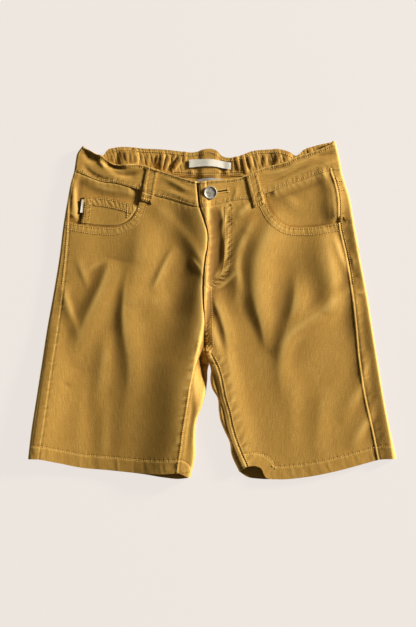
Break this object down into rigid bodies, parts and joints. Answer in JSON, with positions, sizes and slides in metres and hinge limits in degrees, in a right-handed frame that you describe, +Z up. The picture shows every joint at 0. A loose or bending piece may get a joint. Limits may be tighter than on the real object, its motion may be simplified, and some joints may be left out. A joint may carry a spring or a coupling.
{
  "type": "child's denim shorts laid flat",
  "caption": "Child's five-pocket denim shorts lying flat with the front up: fly with shank button, belt loops, scoop pockets, elasticated back waistband.",
  "frame": {"origin": "centre of the bounding box's underside, on the ground that the shorts lie on", "axes": "+Z up out of the ground, +Y from the hems to the waist, +X to the wearer's left"},
  "size_m": [0.423, 0.3876, 0.0121],
  "materials": {
    "denim": "washed mustard stretch denim with fine vertical slubs and tonal stitching",
    "labels": "plain woven satin tape",
    "zip_tape": "woven tape in the cloth's colour",
    "button_metal": "dull nickel, dished and smooth"
  },
  "bodies": {
    "root": {"back_panel_left": "denim", "back_panel_right": "denim", "back_pocket_left": "denim", "back_pocket_right": "denim", "back_yoke_left": "denim", "back_yoke_right": "denim", "belt_loop_back_1": "denim", "belt_loop_back_2": "denim", "belt_loop_back_3": "denim", "belt_loop_front_left": "denim", "belt_loop_front_right": "denim", "button": "button_metal", "coin_pocket": "denim", "coin_pocket_tab": "labels", "fly_zip": "zip_tape", "front_panel_left": "denim", "front_panel_right": "denim", "main_label": "labels", "pocket_facing_left": "denim", "pocket_facing_right": "denim", "size_label": "labels", "waistband_back": "denim", "waistband_front_left": "denim", "waistband_front_right": "denim"}
  },
  "joints": []
}
